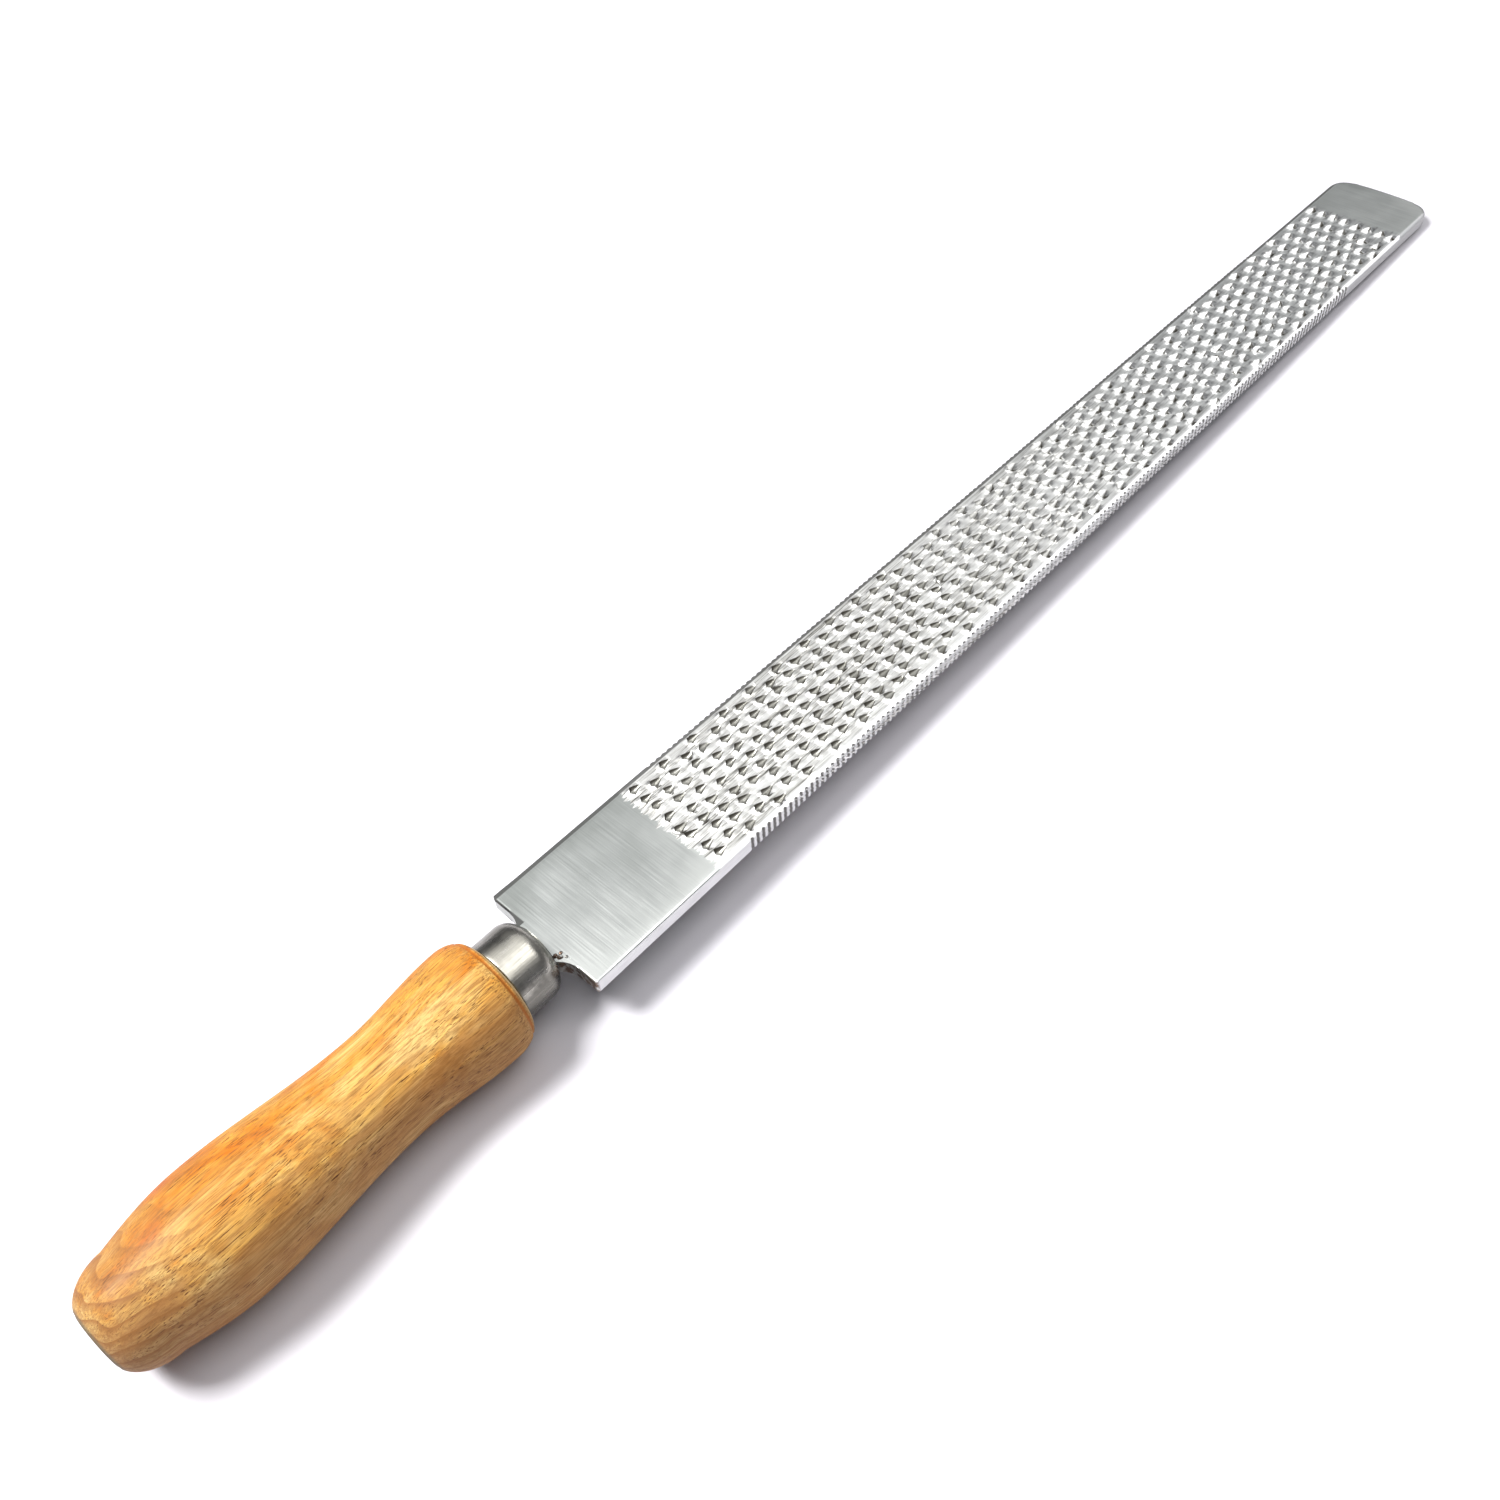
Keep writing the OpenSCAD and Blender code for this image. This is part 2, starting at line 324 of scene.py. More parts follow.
def blade_stations():
    """Distances along the blade with its half width there, and the span of the tooth field."""
    tang = [(-TANG_LEN, TANG_END_HALF), *TANG_STATIONS, (-FILLET_R, TANG_HALF)]
    fillet = [(-FILLET_R + FILLET_R * math.sin(a), TANG_HALF + FILLET_R * (1 - math.cos(a)))
              for a in FILLET_ANGLES]
    heel = [(HEEL_CORNER * (1 - math.cos(a)), HEEL_HALF - HEEL_CORNER * (1 - math.sin(a)))
            for a in HEEL_ANGLES]
    plain = [(s, half_width(s)) for s in HEEL_STATIONS]
    field = [(row_at(i) + u, half_width(row_at(i) + u)) for i in range(ROWS) for u in LINE_AT]
    tip = [(s, half_width(s)) for s in TIP_STATIONS]
    corner = [(CORNER_S + TIP_CORNER * math.sin(a), CORNER_Y + TIP_CORNER * math.cos(a))
              for a in TIP_ANGLES]
    end = [(float(end_bow(y)), y) for y in (CORNER_Y, *TIP_END_HALVES)]
    before = tang + fillet + heel + plain
    return np.array(before + field + tip + corner + end), len(before), len(before) + len(field)


def notch_depth(s, seed):
    """How far the notches of one edge cut in at s, each a little different."""
    phase = (s - NOTCH_START) / NOTCH_PITCH
    index = np.floor(phase).astype(int)
    strengths = np.random.default_rng(seed).uniform(0.7, 1.15, NOTCH_COUNT)
    strength = strengths[np.clip(index, 0, NOTCH_COUNT - 1)]
    groove = np.clip(1 - np.abs(phase - index - 0.5) / GROOVE_HALF, 0, 1)
    inside = (s > NOTCH_START) & (s < NOTCH_END)
    return np.where(inside, NOTCH_D * strength * groove, 0)


def face_columns(s):
    """Where each mesh column of the top face lies, and where the teeth's own columns lie."""
    teeth_y = np.arange(-OUTER_COLUMN, OUTER_COLUMN + 1) * HALF_PITCH / COLUMNS
    margin = np.array((0.0,) + EDGE_INSETS)
    widths = s[:, 1]
    scale = np.clip((widths - 0.5) / (teeth_y[-1] + 0.2), 0, 1)
    shrink = np.clip(widths / NARROW_HALF, 0, 1) * edge_radius(s[:, 0]) / EDGE_ROUND
    left = -(widths[:, None] - margin * shrink[:, None])
    right = widths[:, None] - margin[::-1] * shrink[:, None]
    teeth_half = teeth_y[-1] * scale
    last_flat = widths - margin[-1] * shrink
    steps = np.arange(1, BETWEEN_COLUMNS + 1)
    between = (last_flat - teeth_half)[:, None] * steps / (BETWEEN_COLUMNS + 1)
    between = teeth_half[:, None] + between
    y = np.concatenate([left, -between[:, ::-1], teeth_y * scale[:, None], between, right], 1)
    return y, teeth_y


def toothed_face(s, field_start):
    """Top face of the blade: x, y, z for every station and column."""
    y, teeth_y = face_columns(s)
    x = np.repeat(s[:, :1], y.shape[1], 1)
    crown = np.clip(1 - (half_width(x) - np.abs(y)) / CROWN_WIDTH, 0, 1) * smooth_step(x, 1, 6)
    z = FACE_Z - rounded(distance_in(x, y), x) - EDGE_CROWN * crown ** 2
    z -= np.clip(-x / TANG_LEN, 0, 1) * (FACE_Z - TANG_END_Z)

    first = len(EDGE_INSETS) + 1 + BETWEEN_COLUMNS
    columns = slice(first, first + teeth_y.size)
    for i in range(ROWS):
        shape_row(i, field_start + i * LINES, columns, teeth_y, x, y, z)
    for side, seed in NOTCH_SEEDS.items():
        cut = notch_depth(s[:, 0], seed)
        for j, share in enumerate(NOTCH_SHARES):
            y[:, j if side < 0 else -1 - j] -= side * cut * share
    return x, y, z


def underside_pairs(count, field_start, field_end, slant):
    """Left and right station of each line across the back, and which lines are file cuts."""
    last = field_end - 1
    pairs = [(i, i) for i in range(field_start)]
    pairs += [(field_start, field_start + k) for k in range(slant + 1)]
    pairs += [(i, i + slant) for i in range(field_start + 1, field_end - slant)]
    pairs += [(last - slant + k, last) for k in range(1, slant + 1)]
    pairs += [(i, i) for i in range(field_end, count)]
    full_from = pairs.index((field_start, field_start + slant))
    full_to = pairs.index((last - slant, last))
    return pairs, range(full_from + 1, full_to)


def blade_mesh(cloud):
    """Faces of the blade: toothed top, two notched edges, file-cut back and the tang's end."""
    s, field_start, field_end = blade_stations()
    top = cloud.add(np.stack(toothed_face(s, field_start), -1))
    faces = [face[::-1] for face in quads(top)]
    # The lower edge is cut into even steps under the tooth field
    low_s = s[:, 0].copy()
    low_s[field_start:field_end] = np.linspace(low_s[field_start], low_s[field_end - 1],
                                               field_end - field_start)
    thick = FACE_Z - np.clip(-s[:, 0] / TANG_LEN, 0, 1) * (FACE_Z - TANG_END_Z)

    def wall(side, top_line):
        """One edge of the blade, from its upper to its lower rounding."""
        lines = []
        for level in WALL_LEVELS:
            where = s[:, 0] + (low_s - s[:, 0]) * (1 - level) / 2
            width = s[:, 1] - notch_depth(where, NOTCH_SEEDS[side])
            lines.append(np.stack([where, side * width, level * (thick - edge_radius(s[:, 0]))], -1))
        return np.concatenate([top_line[:, None], cloud.add(np.stack(lines, 1))], 1)

    left = wall(-1, top[:, 0])
    right = wall(1, top[:, -1])
    faces += quads(left)
    faces += [face[::-1] for face in quads(right)]
    known = {}

    def lower_edge(side, index):
        """The three points of the lower rounding at a station, made once."""
        if (side, index) not in known:
            at, width = low_s[index], s[index, 1]
            cut = notch_depth(at, NOTCH_SEEDS[side]) if index >= field_start else 0.0
            draw = min(1.0, width / NARROW_HALF) * float(edge_radius(at)) / EDGE_ROUND
            points = []
            for inset, share in zip(EDGE_INSETS, NOTCH_SHARES[1:]):
                drop = rounded(distance_in(np.array(at), np.array(width - inset * draw)), at)
                y = width - inset * draw - cut * share
                points.append([at, side * y, -thick[index] + float(drop)])
            known[side, index] = cloud.add(points).tolist()
        return known[side, index]

    def flat_end(side, index):
        """Where the flat of the back begins at a station."""
        at, width = low_s[index], s[index, 1]
        flat = width - edge_radius(at) * FLAT_FROM * min(1, width / NARROW_HALF)
        return np.array([at, side * flat, -thick[index]])

    step = low_s[field_start + 1] - low_s[field_start]
    slant = 2 * int(round(HEEL_HALF * math.tan(math.radians(FILE_ANGLE)) / step))
    pairs, file_cuts = underside_pairs(len(s), field_start, field_end, slant)
    steps = np.linspace(0, 1, FILE_STEPS + 1)[1:-1]
    lines = []
    for n, (a, b) in enumerate(pairs):
        left_ids, right_ids = lower_edge(-1, a), lower_edge(1, b)
        start, stop = flat_end(-1, a), flat_end(1, b)
        inner = start + (stop - start) * steps[:, None]
        if n in file_cuts:
            uneven = value_noise(n * 0.6 + 0 * steps, steps * 9, 3, 1.7)
            inner[:, 2] -= FILE_GROOVE[n % len(FILE_GROOVE)] * (1 + 0.35 * uneven)
        else:
            inner[:, 2] = -thick[a] + rounded(distance_in(inner[:, 0], inner[:, 1]), inner[:, 0])
        inner_ids = cloud.add(inner).tolist()
        lines.append([left[a, -1], *left_ids, *inner_ids, *right_ids[::-1], right[b, -1]])
    faces += clean(quads(np.array(lines)))
    # Close the end of the tang
    outline = [*top[0], *right[0, 1:-1], *lines[0][::-1], *left[0, -2:0:-1]]
    faces.append([int(point) for point in outline])
    return faces


# Crumbs of scale and flash in the corner where the tang leaves the heel: s, y, z, radius
CRUMBS = ((-0.7, -5.9, 1.75, 0.78), (0.3, -6.9, 1.8, 0.52), (-1.3, -5.0, 1.9, 0.62),
          (0.1, -5.3, 1.95, 0.44), (0.6, -7.8, 1.5, 0.6), (-0.2, -7.2, 1.4, 0.65))
CRUMB_RINGS, CRUMB_AROUND = 9, 14
CRUMB_SEED = 40


def forging_flash(cloud):
    """Faces of the crumbs, each a lumpy flattened ball."""
    faces = []
    lat = np.linspace(-math.pi / 2, math.pi / 2, CRUMB_RINGS)[:, None]
    lon = np.linspace(0, 2 * math.pi, CRUMB_AROUND, endpoint=False)[None, :]
    for c, (s, y, z, r) in enumerate(CRUMBS):
        lumps = value_noise(lat * 2.3 + 0 * lon, np.cos(lon) * 2 + np.sin(lon), CRUMB_SEED + c, 0.9)
        size = r * (1 + 0.28 * lumps)
        ids = cloud.add(np.stack([s + size * np.cos(lat) * np.cos(lon),
                                  y + size * 0.9 * np.cos(lat) * np.sin(lon),
                                  z + size * 0.75 * np.sin(lat) + 0 * lon], -1))
        faces += quads(np.concatenate([ids, ids[:, :1]], 1))
    return faces


def make_blade():
    cloud = Cloud()
    faces = blade_mesh(cloud) + forging_flash(cloud)
    points = cloud.points()
    points[:, 0] += HEEL_X
    return make_object("blade", points, faces, smooth_angle=28)


# ---- turned pieces ---------------------------------------------------------------------


def lathe(name, profile, around, smooth_angle, ripple, seed):
    """Turns a profile of (x, radius) about the tool's axis. Radius 0 closes on the axis."""
    angles = np.linspace(0, 2 * math.pi, around, endpoint=False)
    cloud, rings = Cloud(), []
    for x, r in profile:
        if r < 1e-6:
            rings.append(np.repeat(cloud.add([(x, 0, 0)]), around))
            continue
        uneven = value_noise(x * 0.05 + 0 * angles, 3 * np.cos(angles) + 2 * np.sin(angles), seed, 1.0)
        radius = r - ripple * (1 + uneven)
        ring = np.stack([x + 0 * angles, radius * np.cos(angles), radius * np.sin(angles)], -1)
        rings.append(cloud.add(ring))
    closed = np.concatenate([rings, np.array(rings)[:, :1]], 1)
    return make_object(name, cloud.points(), clean(quads(closed.T)), smooth_angle)


def arc(cx, cr, radius, start, stop, steps):
    """Profile points round an arc; angle 0 points along +X and 90 points outwards."""
    return [(cx + radius * math.cos(a), cr + radius * math.sin(a))
            for a in np.radians(np.linspace(start, stop, steps))]


FERRULE_WALL = 0.9
NOSE_R = 4.0
MOUTH_R = 6.4
REAR_R = 0.25                               # rounding of the ferrule's open end
SPIGOT_R = FERRULE_R - FERRULE_WALL
WOOD_GAP = 0.35                             # bare wood showing behind the ferrule


def ferrule_profile():
    back = FRONT_X + WOOD_GAP
    bend_x, bend_r = NOSE_X - NOSE_R, FERRULE_R - NOSE_R
    outer = arc(back + REAR_R, FERRULE_R - REAR_R, REAR_R, 180, 90, 4)
    straight = [(x, FERRULE_R) for x in np.linspace(back + 1, bend_x - 0.5, 5)]
    nose = arc(bend_x, bend_r, NOSE_R, 90, 15, 16)
    lip = [(NOSE_X - 0.04, MOUTH_R + 0.1), (NOSE_X - 0.3, MOUTH_R - 0.05),
           (NOSE_X - FERRULE_WALL, MOUTH_R)]
    inner = arc(bend_x, bend_r, NOSE_R - FERRULE_WALL, 25, 90, 8)
    return outer + straight + nose + lip + inner + [(back, SPIGOT_R + 0.02), outer[0]]


HANDLE_LEN = FRONT_X - BUTT_X
# Shares of the handle's length back from its front, and the radii there
BEAD_AT, WAIST_AT, BELLY_AT, ROUND_AT = 0.06, 0.31, 0.72, 0.90
FRONT_R, BEAD_R, WAIST_R, BUTT_R = 10.2, 13.6, 11.7, 6.4
ROUND_R = BELLY_R * 0.83
ROUND_ANGLE = math.radians(76)              # how far the round end turns before the flat butt
LINE_D = 0.28                               # depth of the line turned in the handle's shoulder
LINE_FROM, LINE_TO = 0.60, 0.76             # where it runs on the shoulder's quarter turn


def handle_x(u):
    """Place on the axis at a share of the handle's length."""
    return FRONT_X - u * HANDLE_LEN


def ease(u, low, high, from_r, to_r):
    return from_r + (to_r - from_r) * (1 - math.cos(math.pi * (u - low) / (high - low))) / 2


def handle_radius(u):
    """Radius between the bead and the start of the rounded end."""
    if u < WAIST_AT:
        return ease(u, BEAD_AT, WAIST_AT, BEAD_R, WAIST_R)
    if u < BELLY_AT:
        return ease(u, WAIST_AT, BELLY_AT, WAIST_R, BELLY_R)
    return ease(u, BELLY_AT, 2 * ROUND_AT - BELLY_AT, BELLY_R, 2 * ROUND_R - BELLY_R)


def handle_profile():
    spigot_x = NOSE_X - FERRULE_WALL - 0.3
    spigot = [(spigot_x, 0), (spigot_x, MOUTH_R - 0.2)]
    spigot += arc(NOSE_X - NOSE_R, FERRULE_R - NOSE_R, NOSE_R - FERRULE_WALL - 0.1, 30, 90, 6)
    spigot += [(FRONT_X + 0.3, SPIGOT_R - 0.05), (FRONT_X, SPIGOT_R + 0.1)]
    face = [(FRONT_X - 0.02, FRONT_R - 0.5)]
    shoulder = []
    for a in np.radians(np.linspace(0, 90, 22)):
        dip = LINE_D * 0.7 if LINE_FROM < a < LINE_TO else 0
        bead_x = FRONT_X - BEAD_AT * HANDLE_LEN * (1 - math.cos(a))
        shoulder.append((bead_x - dip, FRONT_R + (BEAD_R - FRONT_R) * math.sin(a) - dip))
    body = [(handle_x(u), handle_radius(u)) for u in np.linspace(BEAD_AT, ROUND_AT, 64)[1:]]
    end = []
    for a in np.linspace(0, ROUND_ANGLE, 16)[1:-1]:
        u = ROUND_AT + (1 - ROUND_AT) * math.sin(a) / math.sin(ROUND_ANGLE)
        share = (math.cos(a) - math.cos(ROUND_ANGLE)) / (1 - math.cos(ROUND_ANGLE))
        end.append((handle_x(u), BUTT_R + (ROUND_R - BUTT_R) * share))
    end.append((BUTT_X + 0.3, BUTT_R))
    butt = [(BUTT_X, BUTT_R - 0.35), (BUTT_X, BUTT_R * 0.6), (BUTT_X, BUTT_R * 0.3), (BUTT_X, 0)]
    return spigot + face + shoulder + body + end + butt


# ---- node materials --------------------------------------------------------------------


class Nodes:
    """A short way to write a node material. Lengths in it are metres, colours are linear."""

    def __init__(self, name):
        self.material = bpy.data.materials.new(name)
        self.material.use_nodes = True
        self.tree = self.material.node_tree
        self.shader = self.tree.nodes["Principled BSDF"]
        self.place = self.add("ShaderNodeTexCoord").outputs["Object"]

    def add(self, kind, **settings):
        node = self.tree.nodes.new(kind)
        for key, value in settings.items():
            setattr(node, key, value)
        return node

    def link(self, source, target):
        self.tree.links.new(source, target)

    def put(self, node, name, value):
        if isinstance(value, bpy.types.NodeSocket):
            self.link(value, node.inputs[name])
        else:
            node.inputs[name].default_value = value

    def look(self, **values):
        """Sets the shader's own sockets, named with underscores."""
        for name, value in values.items():
            self.put(self.shader, name.replace("_", " "), value)

    def split(self, vector):
        node = self.add("ShaderNodeSeparateXYZ")
        self.link(vector, node.inputs[0])
        return node.outputs

    def noise(self, stretch, detail, roughness, distortion=0.0, offset=(0, 0, 0)):
        """Noise with this many cells to the metre along each axis."""
        mapping = self.add("ShaderNodeMapping")
        self.put(mapping, "Vector", self.place)
        self.put(mapping, "Scale", stretch)
        self.put(mapping, "Location", offset)
        node = self.add("ShaderNodeTexNoise")
        self.put(node, "Vector", mapping.outputs["Vector"])
        self.put(node, "Scale", 1.0)
        self.put(node, "Detail", detail)
        self.put(node, "Roughness", roughness)
        self.put(node, "Distortion", distortion)
        return node.outputs["Fac"]

    def math(self, operation, *values):
        node = self.add("ShaderNodeMath", operation=operation)
        for index, value in enumerate(values):
            self.put(node, index, value)
        return node.outputs[0]

    def chain(self, operation, first, *others):
        """Joins the values two at a time, from the left."""
        for value in others:
            first = self.math(operation, first, value)
        return first

    def times(self, *values):
        return self.chain("MULTIPLY", *values)

    def plus(self, *values):
        return self.chain("ADD", *values)

    def most(self, *values):
        return self.chain("MAXIMUM", *values)

    def minus(self, a, b):
        return self.math("SUBTRACT", a, b)

    def above(self, a, b):
        return self.math("GREATER_THAN", a, b)

    def below(self, a, b):
        return self.math("LESS_THAN", a, b)

    def size(self, a):
        return self.math("ABSOLUTE", a)

    def range(self, value, low, high, to_low=0.0, to_high=1.0):
        """Runs from to_low to to_high while the value runs from low to high."""
        node = self.add("ShaderNodeMapRange")
        for index, item in enumerate((value, low, high, to_low, to_high)):
            self.put(node, index, item)
        return node.outputs[0]

    def ramp(self, value, *stops):
        """A colour for the value, from stops of a position and its colour."""
        node = self.add("ShaderNodeValToRGB")
        self.link(value, node.inputs[0])
        elements = node.color_ramp.elements
        while len(elements) < len(stops):
            elements.new(0.5)
        for element, (position, colour) in zip(elements, stops):
            element.position = position
            element.color = (*colour, 1)
        return node.outputs[0]

    def mix(self, factor, a, b):
        """Goes from a to b as the factor goes from 0 to 1."""
        node = self.add("ShaderNodeMix", data_type="RGBA")
        self.put(node, 0, factor)
        for index, value in ((6, a), (7, b)):
            self.put(node, index, (*value, 1) if isinstance(value, tuple) else value)
        return node.outputs[2]

    def grey(self, value):
        node = self.add("ShaderNodeCombineColor")
        for channel in range(3):
            self.link(value, node.inputs[channel])
        return node.outputs[0]

    def bump(self, height, strength, distance):
        node = self.add("ShaderNodeBump")
        self.put(node, "Height", height)
        self.put(node, "Strength", strength)
        self.put(node, "Distance", distance)
        self.link(node.outputs[0], self.shader.inputs["Normal"])


# ---- the blade's steel -----------------------------------------------------------------

# Painted shade on the steep tooth faces
PAINTED_STEEP_SHADE = (0.045, 0.04, 0.03)
# Painted dark reflection on the +Y edge, the heel's shoulder and the tip's rim
PAINTED_DARK_EDGE = (0.03, 0.03, 0.028)
# Painted shade in the pits near the heel
PAINTED_PIT_SHADE = (0.15, 0.147, 0.128)
# Painted shade at the bottom of the edge notches
PAINTED_NOTCH_SHADE = (0.13, 0.125, 0.115)
# Painted highlight on the pits and burr tops towards the tip
PAINTED_PIT_HIGHLIGHT = (1.0, 1.0, 0.98)
# Painted highlight along the -Y margin
PAINTED_MARGIN_HIGHLIGHT = (0.97, 0.97, 0.96)
# Painted shade on the -Y chamfer
PAINTED_CHAMFER_SHADE = (0.42, 0.42, 0.43)
FORGE_SCALE = (0.22, 0.15, 0.11)


def station(s):
    """Distance s along the blade, in metres on the tool's axis."""
    return (HEEL_X + s) * MM


def ground_stretch(m, x):
    """The ground stretch under the teeth, with a ragged border against the plain ends."""
    ragged = m.noise((25, 900, 25), 3, 0.6)
    along = m.plus(x, m.range(ragged, 0.3, 0.7, -0.0012, 0.0012))
    start = m.range(along, station(36.4), station(36.8))
    stop = m.range(along, station(ROWS_END + 0.7), station(ROWS_END))
    return m.times(start, stop)


def ground_tone(m, streaks, towards_tip):
    """Streaks of bright and dark metal, which get calmer towards the tip."""
    heel_tone = m.ramp(streaks,
                       (0.38, (0.15, 0.145, 0.125)),
                       (0.445, (0.66, 0.65, 0.61)),
                       (0.53, (0.98, 0.98, 0.95)))
    tip_tone = m.ramp(streaks,
                      (0.36, (0.30, 0.295, 0.28)),
                      (0.46, (0.50, 0.51, 0.50)),
                      (0.60, (0.66, 0.67, 0.66)))
    return m.mix(towards_tip, heel_tone, tip_tone)


def plain_tone(m, y, across):
    """Faint marks across the plain ends, and painted shade that deepens towards +Y."""
    cloud = m.noise((55, 55, 55), 3, 0.5)
    marks = m.plus(m.times(across, 0.3), m.times(cloud, 0.7))
    # Painted shade: darker towards +Y, lighter towards -Y
    painted_shade_across = m.range(y, 0.014, -0.014, -0.16, 0.19)
    return m.ramp(m.plus(marks, m.times(painted_shade_across, 0.9)),
                  (0.30, (0.38, 0.40, 0.38)),
                  (0.5, (0.52, 0.54, 0.52)),
                  (0.70, (0.70, 0.72, 0.69)))


def tooth_shade_and_highlight(m, z, toothed, towards_tip, colour):
    """Painted shade in the pits by the heel; painted highlight on the pits and burr tops towards the
    tip.
    """
    depth = m.range(z, (FACE_Z - 0.04) * MM, (FACE_Z - 0.14) * MM)
    burr_top = m.range(z, (FACE_Z + 0.10) * MM, (FACE_Z + 0.22) * MM)
    tooth = m.times(m.most(depth, m.times(burr_top, towards_tip)), toothed)
    # Pits: painted shade near the heel, painted highlight towards the tip
    pit_shade_to_highlight = m.mix(towards_tip, PAINTED_PIT_SHADE, PAINTED_PIT_HIGHLIGHT)
    return m.mix(m.times(tooth, 0.9), colour, pit_shade_to_highlight)


def notch_floors(m, x, edge):
    """The bottoms of the notches in the two edges."""
    phase = m.math("FRACT", m.math("DIVIDE", m.minus(x, station(NOTCH_START)), NOTCH_PITCH * MM))
    middle = m.range(m.size(m.minus(phase, 0.5)), 0.20, 0.32, 1.0, 0.0)
    inside = m.times(m.above(x, station(NOTCH_START)), m.below(x, station(NOTCH_END)))
    return m.times(middle, inside, edge)


def painted_dark_edges(m, x, y, z, from_edge, facing):
    """Painted dark reflection along the upper +Y corner, the shoulder's +Y half and the rounded rim of
    the tip.
    """
    corner = m.range(from_edge, 1.45 * MM, 1.15 * MM)
    shoulder = m.times(m.range(x, station(0.45), station(0.15)), m.above(y, 0.006))
    turned = m.range(m.most(facing[0], facing[1]), 0.22, 0.40)
    tip_rim = m.times(turned, m.above(x, station(ROWS_END)))
    upper = m.above(z, (FACE_Z - EDGE_CROWN - EDGE_ROUND - TIP_ROUND_EXTRA) * MM)
    return m.times(m.most(corner, shoulder, tip_rim), upper)


def forge_scale(m, x, y, z, plain_part):
    """Scale left by the forge on the heel's end and on the crumbs round the tang's root."""
    heel_end = m.times(m.range(x, station(0.7), station(0.3)),
                       m.range(z, (FACE_Z - 0.15) * MM, (FACE_Z - 0.5) * MM))
    lump = m.times(m.above(z, (FACE_Z + 0.05) * MM), plain_part)
    forge = m.times(m.most(heel_end, lump), m.range(y, 0.004, -0.003))
    spots = m.noise((700, 700, 700), 3, 0.6)
    return m.times(forge, m.range(spots, 0.42, 0.56, 0.2, 1.0))


def blade_steel():
    m = Nodes("blade_steel")
    x, y, z = m.split(m.place)
    facing = m.split(m.add("ShaderNodeNewGeometry").outputs["True Normal"])
    upright = facing[2]
    aside = m.size(y)
    upper = m.above(z, 0)
    ground = ground_stretch(m, x)
    plain_part = m.minus(1.0, ground)
    towards_tip = m.range(x, station(130), station(245))
    # Lengthwise grinding lines, fine and coarse, and faint marks across the plain ends
    lines = m.noise((110, 4200, 400), 4, 0.7)
    coarse = m.noise((22, 1300, 120), 3, 0.6)
    across = m.noise((3400, 70, 60), 3, 0.6)
    streaks = m.plus(m.times(lines, 0.62), m.times(coarse, 0.38))
    colour = m.mix(ground, plain_tone(m, y, across), ground_tone(m, streaks, towards_tip))
    toothed = m.times(ground, m.below(aside, (TIP_HALF - 0.7) * MM), upper)
    colour = tooth_shade_and_highlight(m, z, toothed, towards_tip, colour)

    # A painted highlight on the -Y margin and painted shade on its chamfer run to the tip; they follow
    # the narrowing outline
    narrowing = (HEEL_HALF - TIP_HALF) / BLADE_LEN
    side_y = m.minus((HEEL_HALF + narrowing * HEEL_X) * MM, m.times(x, narrowing))
    from_left = m.plus(side_y, y)
    margin = m.times(m.range(from_left, 1.9 * MM, 1.2 * MM), ground, upper)
    past_heel = m.times(m.above(x, station(FIRST_ROW - 2.6)), upper)
    chamfer = m.times(m.range(from_left, 1.2 * MM, 0.8 * MM, 0.0, 0.8), past_heel)
    # Painted shade on the chamfer and a painted highlight on the margin
    colour = m.mix(chamfer, colour, PAINTED_CHAMFER_SHADE)
    colour = m.mix(margin, colour, PAINTED_MARGIN_HIGHLIGHT)
    # Painted shade on the steep faces of the teeth
    steep_shade = m.times(m.range(upright, 0.86, 0.66), toothed)
    colour = m.mix(steep_shade, colour, PAINTED_STEEP_SHADE)

    # The two edges are painted light, near white along the notches and dimmer at the tip, with painted
    # shade at the bottom of each notch
    edge = m.times(m.above(aside, (TIP_HALF - 0.75) * MM), m.below(upright, 0.6))
    edge = m.times(edge, m.above(m.size(facing[1]), 0.4))
    edge_painted_light = m.range(x, station(NOTCH_END - 6), station(NOTCH_END + 2), 1.0, 0.6)
    edge_painted_light = m.times(edge_painted_light, m.range(lines, 0.35, 0.65, 0.9, 1.05))
    colour = m.mix(edge, colour, m.grey(edge_painted_light))
    # Painted dark reflection along the +Y edge, the shoulder and the tip's rim
    corner = painted_dark_edges(m, x, y, z, m.minus(side_y, y), facing)
    colour = m.mix(m.times(corner, 0.95), colour, PAINTED_DARK_EDGE)
    # Painted shade at the bottom of each notch
    colour = m.mix(m.times(notch_floors(m, x, edge), 0.92), colour, PAINTED_NOTCH_SHADE)
    colour = m.mix(forge_scale(m, x, y, z, plain_part), colour, FORGE_SCALE)

    # The painted shade and light on the metal are made dull
    painted_dull = m.most(edge, chamfer, m.most(corner, m.times(steep_shade, 0.8)))
    ground_rough = m.times(m.range(lines, 0.3, 0.7, 0.26, 0.42), ground)
    plain_rough = m.times(m.range(across, 0.3, 0.7, 0.29, 0.36), plain_part)
    m.look(Base_Color=colour, Metallic=m.minus(1.0, painted_dull),
           Roughness=m.most(m.plus(ground_rough, plain_rough), m.times(painted_dull, 0.8)))
    relief = m.plus(m.times(streaks, ground), m.times(across, m.times(plain_part, 0.3)))
    m.bump(relief, strength=0.6, distance=0.00010)
    return m.material


# ---- the other materials ---------------------------------------------------------------

# Painted shade on the ferrule's lower and +Y sides
FERRULE_PAINTED_SHADE = (0.11, 0.107, 0.095)
FERRULE_SCRATCH = (0.20, 0.18, 0.14)

